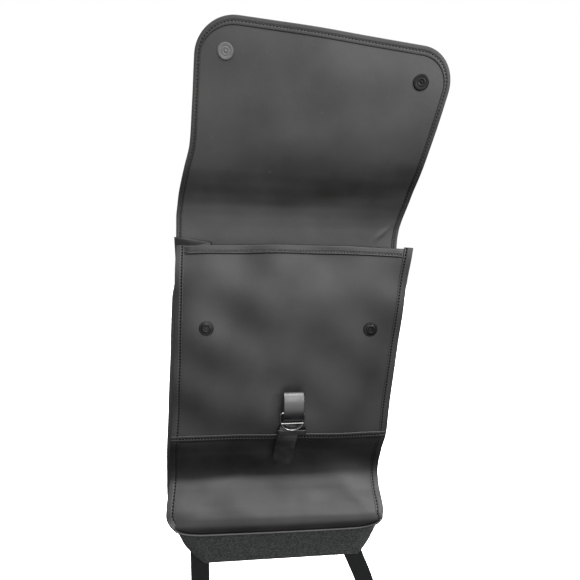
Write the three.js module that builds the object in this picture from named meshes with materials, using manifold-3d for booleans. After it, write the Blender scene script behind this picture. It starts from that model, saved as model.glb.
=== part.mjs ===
// A soft mini backpack, empty and open, hanging from the upper left corner of its raised flap.
// Millimetres. X runs to the right as seen from the front, Y to the back, Z up.
// The bag is laid out from the middle of its back panel's foot, and then shifted so that the
// origin lies on the flap where the bag is held.

import * as THREE from 'three';
import Module from 'manifold-3d';
import { mergeVertices } from 'three/addons/utils/BufferGeometryUtils.js';

// Cloth and tape
const CLOTH = 1.6;
const GAP = 0.3;
const TAPE_LEAF = 1;
const TAPE_GAP = 0.6;
const TAPE_WIDTH = 10;

// Flap, measured up from its foot on the back panel
const FLAP_WIDTH = 282;
const FLAP_LENGTH = 260;
const FLAP_CORNERS = { left: 43, right: 40, high: 41, power: 1 };
const FLAP_TAPE_START = 13;
const GRIP_FROM_EDGE = 8;
const GRIP_UP = 226;

// Front wall, measured down from the mouth
const FRONT_WIDTH = 266;
const FRONT_LENGTH = 374;
const FRONT_CORNERS = { left: 43, right: 43, high: 30, power: 1 };
const CROSS_SEAM = 228;
const HEM_DEPTH = 12;
const HEM_RISE = 0.8;
const LAP_DEPTH = 9;
const LAP_RISE = 1.1;

// Back wall, measured down from the flap's foot
const BACK_WIDTH = 268;
const BACK_LENGTH = 416;
const BACK_CORNERS = { left: 27, right: 21, high: 31, power: 1.6 };
const BACK_TOP = 407.7;
const MOUTH_RISE = { left: 22, right: 6 };
const MOUTH_STEP = 3.2;

// Side walls and base are sewn in a little inside the edges, with some slack from the tape
const SEAM_INSET = 5;
const BASE_INSET = 1.5;
const SEAM_SLACK = 0.3;
const CORNER_SHARE = 0.17;
const CORNER_STEPS = 8;
const SIDE_START = 0.003;
const SIDE_GAP = 0.0012;
const BASE_GAP = 0.002;
const BASE_INWARD = { y: 0.85, z: 0.52 };

// Press studs
const STUD_RADIUS = 8.5;
const STUD_SEAT = 0.5;
const STUD_SIDES = 18;
const STUD_FROM_SIDE = 33;
const STUD_FROM_TOP = 35;
const SOCKET_FROM_SIDE = 37;
const SOCKET_DOWN = 101;

// Front closure
const CLOSURE_WIDTH = 23.6;
const WEBBING = 1.5;
const RING_WIDTH = 30;
const RING_HEIGHT = 25.4;
const RING_WIRE = 2;
const RING_BEND = 3;
const RING_BAR = 1.8;
const RING_BAR_UP = 9.5;
const RING_FOOT = { x: 7, d: 65, z: 202.6 };
const RING_TILT = 14;

// Shoulder straps
const SHOULDER_WIDTH = 25;
const SHOULDER_WEBBING = 1.8;

// A table is a list of rows with named columns
function table(columns, rows) {
  const names = columns.split(' ');
  return rows.map((row) => Object.fromEntries(names.map((name, i) => [name, row[i]])));
}

// The front wall's sections: the two ends and the middle of each, with d as depth before the back wall
const FRONT_SECTIONS = table('s xLeft xRight zLeft zMid zRight dLeft dMid dRight', [
  [0, -129, 151, 418.5, 420.5, 414, 24, 34, 54],
  [39, -128.5, 146, 384, 383, 381, 34, 44, 54],
  [97, -129.5, 139.5, 326, 325, 322, 44, 52, 52],
  [162, -132, 132.8, 261, 260, 254, 48, 55, 49],
  [203, -134.5, 129, 218.5, 219.5, 214, 48, 56, 47],
  [228, -136.5, 127.3, 192, 194, 188, 47, 55, 45],
  [260, -139.5, 123.2, 168, 165, 160, 40, 42, 36],
  [292, -142, 123, 137, 136, 134, 33, 29, 27],
  [300, -142.8, 122.8, 129.2, 128.2, 126, 32.2, 27.8, 26],
  [317, -143.5, 123, 116, 113, 107.5, 37.5, 34.5, 31.5],
  [333, -144.3, 124, 102, 99, 95, 45.5, 43.5, 41],
  [342, -144.3, 124.5, 94.5, 92.2, 88.7, 50.5, 50, 47.5],
  [351, -143.3, 124.5, 86.5, 84.2, 81.7, 53, 54, 52],
  [362, -141, 126, 76, 73.3, 72, 50.5, 51.5, 50.5],
  [364, -140.8, 126, 74.2, 71.6, 70.3, 49.6, 50.5, 49.6],
  [374, -140, 126, 66, 63, 62, 44.5, 45, 44.5],
]);

// The back wall's two side edges
const BACK_SECTIONS = table('s xLeft xRight', [
  [0, -132, 149],
  [338, -137, 124],
  [385, -133, 124],
  [416, -131, 124],
]);

// The flap's two side edges, how far its middle bows to the front, and how far its left third rises
const FLAP_SECTIONS = table('s xLeft yLeft zLeft xRight yRight zRight bow crown', [
  [0, -132, 0, 408, 149, 0, 408, 0, 0],
  [16, -132, 0, 424.5, 149.5, 0, 423, 0, 0],
  [31, -131.5, 0, 440.5, 151, -0.2, 437, 0, 0],
  [44, -131, -0.4, 454, 153.5, -1.4, 449, 0, 0],
  [57, -129, -2.5, 467.5, 156.5, -4.8, 461, 0, 0],
  [70, -126.5, -7.3, 480, 159, -10.8, 472, 1, 0],
  [86, -122, -15.3, 494.5, 161, -20, 484, 2, 0],
  [104, -116.5, -23.8, 510.5, 163, -30.5, 496, 3, 0],
  [130, -108.5, -33, 535.5, 166, -43.5, 514.5, 4, 0],
  [169, -103.5, -43.2, 575, 172.5, -56, 546, 5, 0.3],
  [213, -99, -53, 619.5, 180, -66.2, 582.5, 6, 0.8],
  [260, -93, -63.2, 665, 189.5, -76.3, 628, 8, 2],
]);

// The side walls' folds: along is the share of the way down, inward the fold's depth at mid width
const LEFT_FOLDS = table('along inward power', [
  [0, 40, 1.2],
  [0.06, 25, 1.3],
  [0.12, 0, 1.7],
  [0.19, -7, 2],
  [0.4, -9, 2],
  [0.65, -11.5, 2],
  [0.85, -12, 2],
  [0.93, -9, 2],
  [1, 0, 2],
]);
const RIGHT_FOLDS = table('along inward power', [
  [0, 36, 1.2],
  [0.06, 25, 1.3],
  [0.13, 10, 1.7],
  [0.21, 2, 2],
  [0.4, -2, 2],
  [0.8, -3, 2],
  [1, -2, 2],
]);

// The base's sag, in the same columns
const BASE_FOLDS = table('along inward power', [
  [0, 0, 2],
  [0.1, 0, 2],
  [0.5, 1, 2],
  [0.9, 1, 2],
  [1, -2, 2],
]);

// The closure strap's route from the seam up, over, through the ring and down to its free end
const CLOSURE_ROUTE = table('x d z turn', [
  [8.6, 56.9, 197, 0],
  [8.6, 57.9, 215, 0],
  [8.6, 60.4, 233, 0],
  [8.6, 64.8, 244.4, 0],
  [8.6, 70.2, 248.4, 0],
  [8.6, 75.2, 244.4, 0],
  [8.4, 76.6, 236.5, 0],
  [8.1, 73.6, 224.8, 0],
  [7.9, 69, 218, 0],
  [7.2, 64.5, 211, 0],
  [5.7, 61.8, 203, -1],
  [4.3, 61.6, 196, -7],
  [2.7, 61.6, 188, -14],
  [0.5, 60.4, 177, -20],
  [-2.1, 57.8, 164, -23],
  [-4, 55.6, 154.5, -24],
]);

// The shoulder straps' routes from the foot of the back, in a hanging bight, to the top of the back
const LEFT_SHOULDER = table('x y z', [
  [-112.5, 2, 26],
  [-112.5, 2, -8],
  [-112.9, 5, -50],
  [-113.5, 13, -110],
  [-116, 30, -150],
  [-118.5, 49, -140],
  [-119.5, 57, -95],
  [-118, 56, -35],
  [-100, 49, 60],
  [-68, 32, 220],
  [-47, 12, 350],
  [-42.5, 3, 385],
  [-40, 2.2, 412],
]);
const RIGHT_SHOULDER = table('x y z', [
  [86, 2, 24],
  [98, 2, -8],
  [115, 5, -51],
  [129, 14, -100],
  [136, 30, -142],
  [135, 48, -132],
  [127, 55, -88],
  [112, 54, -46],
  [98, 49, 30],
  [75, 32, 215],
  [60, 12, 350],
  [56.5, 3, 385],
  [54, 2.2, 412],
]);

// Colours and finishes
const material = (color, roughness, metalness = 0) => (
  new THREE.MeshStandardMaterial({ color, roughness, metalness })
);
const coatedCloth = material(0x4a4b49, 0.55);
const coatedTape = material(0x3e403f, 0.55);
const wovenBase = material(0x2c2f2f, 0.9);
const strapWebbing = material(0x222526, 0.85);
const closureWebbing = material(0x3a3c3d, 0.45);
const darkMetal = material(0x55585a, 0.35, 0.9);
const ringMetal = material(0x9a9c9c, 0.25, 1);

const wasm = await Module();
wasm.setup();

const lerp = THREE.MathUtils.lerp;
const clamp = THREE.MathUtils.clamp;
const vector = (x, y, z) => new THREE.Vector3(x, y, z);

// Evenly spaced numbers from one value to another, both included
function spread(from, to, steps) {
  return Array.from({ length: steps + 1 }, (_, i) => lerp(from, to, i / steps));
}

// Smooth value of a table's column where its key column has the given value
function smooth(rows, key, column, at) {
  const last = rows.length - 1;
  const k = clamp(at, rows[0][key], rows[last][key]);
  let i = 0;
  while (i < last - 1 && rows[i + 1][key] < k) i += 1;
  const rate = (j) => (rows[j + 1][column] - rows[j][column]) / (rows[j + 1][key] - rows[j][key]);
  const slope = (j) => {
    if (j === 0) return rate(0);
    if (j === last) return rate(last - 1);
    const before = rate(j - 1);
    const after = rate(j);
    return before * after <= 0 ? 0 : (2 * before * after) / (before + after);
  };
  const span = rows[i + 1][key] - rows[i][key];
  const t = (k - rows[i][key]) / span;
  const a = rows[i][column];
  const b = rows[i + 1][column];
  const rise = slope(i) * span;
  const fall = slope(i + 1) * span;
  return a + t * rise + t * t * (3 * (b - a) - 2 * rise - fall) + t * t * t * (2 * (a - b) + rise + fall);
}

// Value at share u on the parabola through a left, a middle and a right value
function parabola(left, middle, right, u) {
  return left * (1 - u) * (1 - 2 * u) + middle * 4 * u * (1 - u) + right * u * (2 * u - 1);
}

// Middle surface of the front wall, x across the cloth and s down from the mouth
function frontAt(x, s) {
  const u = x / FRONT_WIDTH + 0.5;
  const at = (column) => smooth(FRONT_SECTIONS, 's', column, s);
  return vector(
    lerp(at('xLeft'), at('xRight'), u),
    -parabola(at('dLeft'), at('dMid'), at('dRight'), u),
    parabola(at('zLeft'), at('zMid'), at('zRight'), u),
  );
}

// Middle surface of the back wall, x across the cloth and s down from its top
function backAt(x, s) {
  const u = x / BACK_WIDTH + 0.5;
  const at = (column) => smooth(BACK_SECTIONS, 's', column, s);
  return vector(lerp(at('xLeft'), at('xRight'), u), 0, BACK_TOP - s);
}

// Middle surface of the flap, x across the cloth and s up from its foot
function flapAt(x, s) {
  const u = x / FLAP_WIDTH + 0.5;
  const at = (column) => smooth(FLAP_SECTIONS, 's', column, s);
  return vector(
    lerp(at('xLeft'), at('xRight'), u),
    lerp(at('yLeft'), at('yRight'), u) - at('bow') * 4 * u * (1 - u),
    lerp(at('zLeft'), at('zRight'), u) + at('crown') * 6.75 * u * (1 - u) ** 2,
  );
}

// Unit normal of a surface, worked out from points a small step to each side
function normalAt(surface, a, b, step) {
  const along = surface(a + step, b).sub(surface(a - step, b));
  const across = surface(a, b + step).sub(surface(a, b - step));
  return along.cross(across).normalize();
}

// A closed mesh from its points and triangles, turned inside out where the faces point inwards
function closedGeometry(points, triangles) {
  let volume = 0;
  for (const [a, b, c] of triangles) {
    volume += points[a].dot(points[b].clone().cross(points[c]));
  }
  const ordered = volume < 0 ? triangles.map(([a, b, c]) => [a, c, b]) : triangles;
  const geometry = new THREE.BufferGeometry();
  geometry.setFromPoints(points);
  geometry.setIndex(ordered.flat());
  geometry.computeVertexNormals();
  return geometry;
}

// A wall of cloth over a grid of surface places, with its thickness to the two sides of the surface
function wall(surface, grid, front, back, step = 0.05) {
  const rows = grid.length;
  const columns = grid[0].length;
  const points = [];
  for (const side of [1, -1]) {
    for (const row of grid) {
      for (const [a, b] of row) {
        const offset = side > 0 ? front(a, b) : -back(a, b);
        points.push(surface(a, b).addScaledVector(normalAt(surface, a, b, step), offset));
      }
    }
  }
  const at = (side, j, i) => side * rows * columns + j * columns + i;
  const triangles = [];
  const quad = (a, b, c, d) => triangles.push([a, b, c], [a, c, d]);
  for (let j = 0; j < rows - 1; j += 1) {
    for (let i = 0; i < columns - 1; i += 1) {
      quad(at(0, j, i), at(0, j, i + 1), at(0, j + 1, i + 1), at(0, j + 1, i));
      quad(at(1, j, i), at(1, j + 1, i), at(1, j + 1, i + 1), at(1, j, i + 1));
    }
    quad(at(0, j, 0), at(0, j + 1, 0), at(1, j + 1, 0), at(1, j, 0));
    const end = columns - 1;
    quad(at(0, j, end), at(1, j, end), at(1, j + 1, end), at(0, j + 1, end));
  }
  for (let i = 0; i < columns - 1; i += 1) {
    const end = rows - 1;
    quad(at(0, 0, i), at(1, 0, i), at(1, 0, i + 1), at(0, 0, i + 1));
    quad(at(0, end, i), at(0, end, i + 1), at(1, end, i + 1), at(1, end, i));
  }
  return closedGeometry(points, triangles);
}

const halfCloth = () => CLOTH / 2;

// Grid of places on a panel: straight levels, then the two rounded corners at its far end
function panelGrid(panel, inset, levels, columns) {
  const half = panel.width / 2 - inset;
  const { left, right, high } = panel.corners;
  const straight = panel.length - high;
  const turns = spread(0, Math.PI / 2, CORNER_STEPS).slice(1);
  const heights = [
    ...levels.map((s) => [s, 0]),
    ...turns.map((turn) => [straight + (high - inset) * Math.sin(turn), 1 - Math.cos(turn)]),
  ];
  return heights.map(([s, pull]) => {
    const first = -half + pull * (left - inset);
    const last = half - pull * (right - inset);
    const between = spread(first + TAPE_WIDTH, last - TAPE_WIDTH, columns - 2);
    return [first, ...between, last].map((x) => [x, s]);
  });
}

// Place on the edge of a panel with two cut corners at its far end, and the way into the panel;
// a corner of power 1 is round and one of power 2 is straight
function edgePlace(panel, side, share) {
  const half = panel.width / 2;
  const rise = panel.rise?.[side] ?? 0;
  const { left, right, high, power } = panel.corners;
  const straight = panel.length - high;
  if (side === 'left') return { x: -half, s: lerp(-rise, straight, share), inX: 1, inS: 0 };
  if (side === 'right') return { x: half, s: lerp(straight, -rise, share), inX: -1, inS: 0 };
  if (share >= CORNER_SHARE && share <= 1 - CORNER_SHARE) {
    const along = (share - CORNER_SHARE) / (1 - 2 * CORNER_SHARE);
    return { x: lerp(-half + left, half - right, along), s: panel.length, inX: 0, inS: -1 };
  }
  const first = share < CORNER_SHARE;
  const turn = (Math.PI / 2) * (first ? share : 1 - share) / CORNER_SHARE;
  const sign = first ? -1 : 1;
  const wide = first ? left : right;
  const slant = Math.hypot(Math.cos(turn) / wide, Math.sin(turn) / high);
  return {
    x: sign * (half - wide + wide * Math.cos(turn) ** power),
    s: straight + high * Math.sin(turn) ** power,
    inX: -sign * Math.cos(turn) / wide / slant,
    inS: -Math.sin(turn) / high / slant,
  };
}

const END_SHARES = [
  ...spread(0, CORNER_SHARE, CORNER_STEPS),
  ...spread(CORNER_SHARE, 1 - CORNER_SHARE, 10).slice(1, -1),
  ...spread(1 - CORNER_SHARE, 1, CORNER_STEPS),
];
const UPPER_LEVELS = [
  0, HEM_DEPTH, HEM_DEPTH + 1, ...spread(HEM_DEPTH + 12, CROSS_SEAM, 10),
];
const LOWER_LEVELS = [
  CROSS_SEAM, CROSS_SEAM + LAP_DEPTH, CROSS_SEAM + LAP_DEPTH + 1,
  ...spread(CROSS_SEAM + LAP_DEPTH + 9, FRONT_LENGTH - FRONT_CORNERS.high, 8),
];
const FRONT_LEVELS = [...UPPER_LEVELS, ...LOWER_LEVELS.slice(1)];
const FRONT_PANEL = { width: FRONT_WIDTH, length: FRONT_LENGTH, corners: FRONT_CORNERS };
const FLAP_PANEL = { width: FLAP_WIDTH, length: FLAP_LENGTH, corners: FLAP_CORNERS };
const BACK_PANEL = { width: BACK_WIDTH, length: BACK_LENGTH, corners: BACK_CORNERS };
const FRONT_SEAM = {
  width: FRONT_WIDTH - 2 * SEAM_INSET,
  length: FRONT_LENGTH - BASE_INSET,
  corners: {
    ...FRONT_CORNERS,
    left: FRONT_CORNERS.left - SEAM_INSET,
    right: FRONT_CORNERS.right - SEAM_INSET,
    high: FRONT_CORNERS.high - BASE_INSET,
  },
};
const BACK_SEAM = { ...BACK_PANEL, rise: MOUTH_RISE };

// Tape folded round a panel's two sides and its far end: a channel section carried along the edge
function edgeTape(surface, panel, levels) {
  const straight = panel.length - panel.corners.high;
  const shares = levels.map((s) => s / straight);
  const upwards = shares.map((share) => 1 - share).reverse();
  const stations = [
    ...shares.map((share) => edgePlace(panel, 'left', share)),
    ...END_SHARES.slice(1, -1).map((share) => edgePlace(panel, 'end', share)),
    ...upwards.map((share) => edgePlace(panel, 'right', share)),
  ];
  const inner = CLOTH / 2 + TAPE_GAP;
  const outer = inner + TAPE_LEAF;
  const section = [
    [TAPE_WIDTH, outer], [0, outer], [0, -outer], [TAPE_WIDTH, -outer],
    [TAPE_WIDTH, -inner], [TAPE_LEAF, -inner], [TAPE_LEAF, inner], [TAPE_WIDTH, inner],
  ];
  const points = [];
  for (const place of stations) {
    for (const [inward, height] of section) {
      const x = place.x + place.inX * inward;
      const s = place.s + place.inS * inward;
      points.push(surface(x, s).addScaledVector(normalAt(surface, x, s, 0.05), height));
    }
  }
  const count = section.length;
  const triangles = [];
  const quad = (a, b, c, d) => triangles.push([a, b, c], [a, c, d]);
  for (let k = 0; k < stations.length - 1; k += 1) {
    for (let i = 0; i < count; i += 1) {
      const next = (i + 1) % count;
      quad(k * count + i, k * count + next, (k + 1) * count + next, (k + 1) * count + i);
    }
  }
  const last = (stations.length - 1) * count;
  for (const [a, b, c, d] of [[0, 1, 6, 7], [1, 2, 5, 6], [2, 3, 4, 5]]) {
    quad(d, c, b, a);
    quad(last + a, last + b, last + c, last + d);
  }
  return closedGeometry(points, triangles);
}

// Surface of a side wall or the base, w from the front seam to the back seam, f along the seams
function stripSurface(side, folds, inwardAt) {
  const frontClear = CLOTH + GAP + TAPE_GAP + TAPE_LEAF + SEAM_SLACK;
  const backClear = CLOTH + GAP;
  return (w, f) => {
    const share = clamp(f, 0, 1);
    const front = edgePlace(FRONT_SEAM, side, share);
    const back = edgePlace(BACK_SEAM, side, share);
    const start = frontAt(front.x, front.s);
    const normal = normalAt(frontAt, front.x, front.s, 0.05);
    start.addScaledVector(normal, normal.y > 0 ? frontClear : -frontClear);
    const end = backAt(back.x, back.s);
    end.y = -backClear - MOUTH_STEP * Math.max(0, -back.s / MOUTH_RISE.left);
    const inward = smooth(folds, 'along', 'inward', share);
    const power = smooth(folds, 'along', 'power', share);
    const depth = inward * (1 - Math.abs(2 * w - 1) ** power);
    return start.lerp(end, w).addScaledVector(inwardAt(share), depth);
  };
}

// A side wall or the base, with a row of its grid at each share of its length
function stripWall(surface, columns, shares) {
  const grid = shares.map((f) => spread(0, 1, columns).map((w) => [w, f]));
  return wall(surface, grid, halfCloth, halfCloth, 0.002);
}

// Flat webbing along a route, its width kept level apart from the turn that the route asks for
function webbing(pointAt, turnAt, width, thickness, steps) {
  const middle = (t) => pointAt(clamp(t, 0, 1));
  const surface = (a, t) => {
    const along = middle(t + 0.004).sub(middle(t - 0.004)).normalize();
    const across = vector(1, 0, 0).addScaledVector(along, -along.x).normalize();
    across.applyAxisAngle(along, THREE.MathUtils.degToRad(turnAt(t)));
    return middle(t).addScaledVector(across, a);
  };
  const half = () => thickness / 2;
  const grid = spread(0, 1, steps).map((t) => [[-width / 2, t], [width / 2, t]]);
  return wall(surface, grid, half, half, 0.002);
}

// A smooth curve through a table of places, by its share of length
function routeCurve(places) {
  return new THREE.CatmullRomCurve3(places, false, 'centripetal');
}

const bag = new THREE.Group();

function addPiece(name, geometry, finish) {
  const mesh = new THREE.Mesh(geometry, finish);
  mesh.name = name;
  bag.add(mesh);
  return mesh;
}

// A solid for joining
function solidOf(geometry) {
  const bare = geometry.index ? geometry.toNonIndexed() : geometry.clone();
  bare.deleteAttribute('normal');
  bare.deleteAttribute('uv');
  const merged = mergeVertices(bare, 1e-4);
  return new wasm.Manifold(new wasm.Mesh({
    numProp: 3,
    vertProperties: new Float32Array(merged.attributes.position.array),
    triVerts: new Uint32Array(merged.index.array),
  }));
}

function geometryOf(solid) {
  const mesh = solid.getMesh();
  const geometry = new THREE.BufferGeometry();
  geometry.setAttribute('position', new THREE.BufferAttribute(mesh.vertProperties, 3));
  geometry.setIndex(new THREE.BufferAttribute(mesh.triVerts, 1));
  geometry.computeVertexNormals();
  return geometry;
}

// Back wall: a flat panel with deep cut lower corners
function makeBack() {
  const left = spread(0, 1, 6).map((share) => edgePlace(BACK_PANEL, 'left', share));
  const end = spread(0, 1, 24).slice(1).map((share) => edgePlace(BACK_PANEL, 'end', share));
  const right = spread(0, 1, 6).slice(1).map((share) => edgePlace(BACK_PANEL, 'right', share));
  const outline = [...left, ...end, ...right].map((place) => backAt(place.x, place.s));
  const shape = new THREE.Shape(outline.map((point) => new THREE.Vector2(point.x, point.z)));
  const geometry = new THREE.ExtrudeGeometry(shape, { depth: CLOTH, bevelEnabled: false });
  geometry.rotateX(Math.PI / 2);
  geometry.translate(0, CLOTH / 2, 0);
  addPiece('back_panel', geometry, coatedCloth);
}

// Flap and its tape
function makeFlap() {
  const levels = [0, ...spread(FLAP_TAPE_START, FLAP_LENGTH - FLAP_CORNERS.high, 14)];
  const grid = panelGrid(FLAP_PANEL, TAPE_LEAF + GAP, levels, 12);
  addPiece('flap', wall(flapAt, grid, halfCloth, halfCloth), coatedCloth);
  addPiece('flap_binding', edgeTape(flapAt, FLAP_PANEL, levels.slice(1)), coatedTape);
}

// Front wall in two panels that meet at the cross seam, with a raised hem and a raised lap
function makeFront() {
  const inset = TAPE_LEAF + GAP;
  const half = FRONT_WIDTH / 2 - inset;
  const free = FRONT_WIDTH / 2 - TAPE_WIDTH - 1 - GAP;
  const across = [-half, -free - 1, ...spread(-free, free, 12), free + 1, half];
  const raised = (x) => Math.abs(x) <= free;
  const hem = (x, s) => CLOTH / 2 + (raised(x) && s <= HEM_DEPTH ? HEM_RISE : 0);
  const lap = (x, s) => CLOTH / 2 + (raised(x) && s <= CROSS_SEAM + LAP_DEPTH ? LAP_RISE : 0);
  const upper = UPPER_LEVELS.map((s) => across.map((x) => [x, s]));
  upper[upper.length - 1] = across.map((x) => [x, CROSS_SEAM - GAP]);
  addPiece('front_upper_panel', wall(frontAt, upper, hem, hem), coatedCloth);
  const lapLevels = LOWER_LEVELS.slice(0, 3);
  const lower = [
    ...lapLevels.map((s) => across.map((x) => [x, s])),
    ...panelGrid(FRONT_PANEL, inset, LOWER_LEVELS.slice(3), across.length - 1),
  ];
  addPiece('front_lower_panel', wall(frontAt, lower, halfCloth, lap), coatedCloth);
  addPiece('front_binding', edgeTape(frontAt, FRONT_PANEL, FRONT_LEVELS), coatedTape);
}

// The way into the bag from the base, turning to the side walls' ways round the corners
function baseInward(share) {
  const way = vector(0, BASE_INWARD.y, BASE_INWARD.z);
  const first = 1 - share / CORNER_SHARE;
  const last = 1 - (1 - share) / CORNER_SHARE;
  way.x = Math.max(first, 0) - Math.max(last, 0);
  way.y *= 1 - Math.max(first, last, 0);
  way.z *= 1 - Math.max(first, last, 0);
  return way.normalize();
}

// Side walls and woven base
function makeSides() {
  const toRight = vector(1, 0, 0);
  const toLeft = vector(-1, 0, 0);
  const upwards = RIGHT_FOLDS.map((row) => ({ ...row, along: 1 - row.along })).reverse();
  const left = stripSurface('left', LEFT_FOLDS, () => toRight);
  const right = stripSurface('right', upwards, () => toLeft);
  const base = stripSurface('end', BASE_FOLDS, baseInward);
  const straight = FRONT_LENGTH - FRONT_CORNERS.high;
  const shares = FRONT_LEVELS.map((s) => clamp(s / straight, SIDE_START, 1 - SIDE_GAP));
  const climbing = shares.map((share) => 1 - share).reverse();
  const along = END_SHARES.map((share) => clamp(share, BASE_GAP, 1 - BASE_GAP));
  addPiece('gusset_left', stripWall(left, 8, shares), coatedCloth);
  addPiece('gusset_right', stripWall(right, 8, climbing), coatedCloth);
  addPiece('bottom_panel', stripWall(base, 6, along), wovenBase);
}

// Press studs: turned discs seated on the flap's inner face and on the front
function makeStuds() {
  const stud = [
    [0, 0], [STUD_RADIUS, 0], [STUD_RADIUS, 0.8], [7.6, 1.4], [5.6, 1.4], [5, 0.9],
    [3, 0.9], [2.6, 3.2], [1.6, 3.8], [0, 3.8],
  ];
  const socket = [
    [0, 0], [STUD_RADIUS, 0], [STUD_RADIUS, 1], [7.4, 1.8], [5.4, 1.8], [4.6, 2.6],
    [3.4, 2.6], [2.8, 2], [2.8, 0.8], [0, 0.8],
  ];
  const seat = CLOTH / 2 + STUD_SEAT;
  for (const [side, sign] of [['left', -1], ['right', 1]]) {
    const flapX = sign * (FLAP_WIDTH / 2 - STUD_FROM_SIDE);
    placeDisc(`snap_stud_${side}`, stud, flapAt, flapX, FLAP_LENGTH - STUD_FROM_TOP, seat);
    const frontX = sign * (FRONT_WIDTH / 2 - SOCKET_FROM_SIDE);
    placeDisc(`snap_socket_${side}`, socket, frontAt, frontX, SOCKET_DOWN, seat);
  }
}

function placeDisc(name, profile, surface, x, s, seat) {
  const points = profile.map(([radius, height]) => new THREE.Vector2(radius, height));
  const mesh = addPiece(name, new THREE.LatheGeometry(points, STUD_SIDES), darkMetal);
  const normal = normalAt(surface, x, s, 0.05);
  if (normal.y > 0) normal.negate();
  mesh.quaternion.setFromUnitVectors(vector(0, 1, 0), normal);
  mesh.position.copy(surface(x, s)).addScaledVector(normal, seat);
}

// Closure strap, folded over and threaded through its ring
function makeClosure() {
  const places = CLOSURE_ROUTE.map((row) => vector(row.x, -row.d, row.z));
  const curve = routeCurve(places);
  const last = CLOSURE_ROUTE.length - 1;
  const turns = CLOSURE_ROUTE.map((row, i) => ({ t: i / last, turn: row.turn }));
  const turnAt = (t) => smooth(turns, 't', 'turn', t);
  const strap = webbing((t) => curve.getPoint(t), turnAt, CLOSURE_WIDTH, WEBBING, 60);
  addPiece('closure_strap', strap, closureWebbing);
  const ring = addPiece('closure_ring', ringGeometry(), ringMetal);
  ring.rotation.x = Math.PI / 2 + THREE.MathUtils.degToRad(RING_TILT);
  ring.position.set(RING_FOOT.x, -RING_FOOT.d, RING_FOOT.z);
}

// Ring in its own plane: x across, y up from the middle of the wire at its foot
function ringGeometry() {
  const half = (RING_WIDTH - RING_WIRE) / 2;
  const top = RING_HEIGHT - RING_WIRE;
  const path = new THREE.Path();
  path.moveTo(-half, half);
  path.absarc(0, half, half, Math.PI, 2 * Math.PI, false);
  path.lineTo(half, top - RING_BEND);
  path.quadraticCurveTo(half, top, half - RING_BEND, top);
  path.lineTo(-half + RING_BEND, top);
  path.quadraticCurveTo(-half, top, -half, top - RING_BEND);
  path.lineTo(-half, half);
  const outline = path.getSpacedPoints(44).slice(0, -1);
  const wire = closedTube(outline, RING_WIRE / 2, 8);
  const chord = Math.sqrt(half ** 2 - (half - RING_BAR_UP) ** 2);
  const bar = new THREE.CylinderGeometry(RING_BAR / 2, RING_BAR / 2, 2 * chord, 8);
  bar.rotateZ(Math.PI / 2);
  bar.translate(0, RING_BAR_UP, 0);
  return geometryOf(solidOf(wire).add(solidOf(bar)));
}

// Round wire along a closed flat outline
function closedTube(outline, radius, sides) {
  const count = outline.length;
  const points = [];
  const triangles = [];
  for (let k = 0; k < count; k += 1) {
    const along = outline[(k + 1) % count].clone().sub(outline[(k + count - 1) % count]).normalize();
    for (let i = 0; i < sides; i += 1) {
      const angle = (2 * Math.PI * i) / sides;
      const out = radius * Math.cos(angle);
      const x = outline[k].x + out * along.y;
      const y = outline[k].y - out * along.x;
      points.push(vector(x, y, radius * Math.sin(angle)));
      const next = ((k + 1) % count) * sides;
      const j = (i + 1) % sides;
      triangles.push([k * sides + i, k * sides + j, next + j], [k * sides + i, next + j, next + i]);
    }
  }
  return closedGeometry(points, triangles);
}

// Shoulder straps behind the bag
function makeShoulders() {
  for (const [side, route] of [['left', LEFT_SHOULDER], ['right', RIGHT_SHOULDER]]) {
    const curve = routeCurve(route.map((row) => vector(row.x, row.y, row.z)));
    const pointAt = (t) => curve.getPointAt(t);
    const strap = webbing(pointAt, () => 0, SHOULDER_WIDTH, SHOULDER_WEBBING, 64);
    addPiece(`shoulder_strap_${side}`, strap, strapWebbing);
  }
}

makeBack();
makeFlap();
makeFront();
makeSides();
makeStuds();
makeClosure();
makeShoulders();

const grip = flapAt(-FLAP_WIDTH / 2 + GRIP_FROM_EDGE, GRIP_UP);
bag.position.copy(grip).negate();

export default bag;
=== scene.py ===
"""The looks of a soft mini backpack, empty and open, hanging from the upper left corner of its flap.

Sizes are in millimetres in the bag's own layout: x to the right, y to the back, z up from the foot of
the back wall. place() turns them into metres from the point where the bag is held.
"""
import math

import bpy
import numpy as np
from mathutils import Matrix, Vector


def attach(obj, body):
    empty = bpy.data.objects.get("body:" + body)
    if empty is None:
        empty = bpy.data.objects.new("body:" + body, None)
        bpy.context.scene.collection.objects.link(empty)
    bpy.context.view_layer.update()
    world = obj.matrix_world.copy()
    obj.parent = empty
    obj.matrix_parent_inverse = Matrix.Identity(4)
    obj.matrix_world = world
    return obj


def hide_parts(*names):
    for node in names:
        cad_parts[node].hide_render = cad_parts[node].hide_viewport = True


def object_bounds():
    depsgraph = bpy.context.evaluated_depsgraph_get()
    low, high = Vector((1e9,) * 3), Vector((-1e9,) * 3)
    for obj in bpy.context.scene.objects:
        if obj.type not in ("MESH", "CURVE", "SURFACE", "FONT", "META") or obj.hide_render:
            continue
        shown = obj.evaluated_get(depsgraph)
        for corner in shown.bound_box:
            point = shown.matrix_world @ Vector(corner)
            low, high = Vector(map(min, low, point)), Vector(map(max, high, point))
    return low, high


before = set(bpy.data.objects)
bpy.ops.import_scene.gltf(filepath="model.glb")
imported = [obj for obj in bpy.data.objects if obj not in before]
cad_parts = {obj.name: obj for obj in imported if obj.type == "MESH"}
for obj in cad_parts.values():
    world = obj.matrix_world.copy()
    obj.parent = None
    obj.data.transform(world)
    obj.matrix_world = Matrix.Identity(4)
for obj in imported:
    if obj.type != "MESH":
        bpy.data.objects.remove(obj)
cad_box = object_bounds()

# Where the bag is held, at the flap's left edge
GRIP = (-89.49, -56.93, 631.35)

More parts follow.
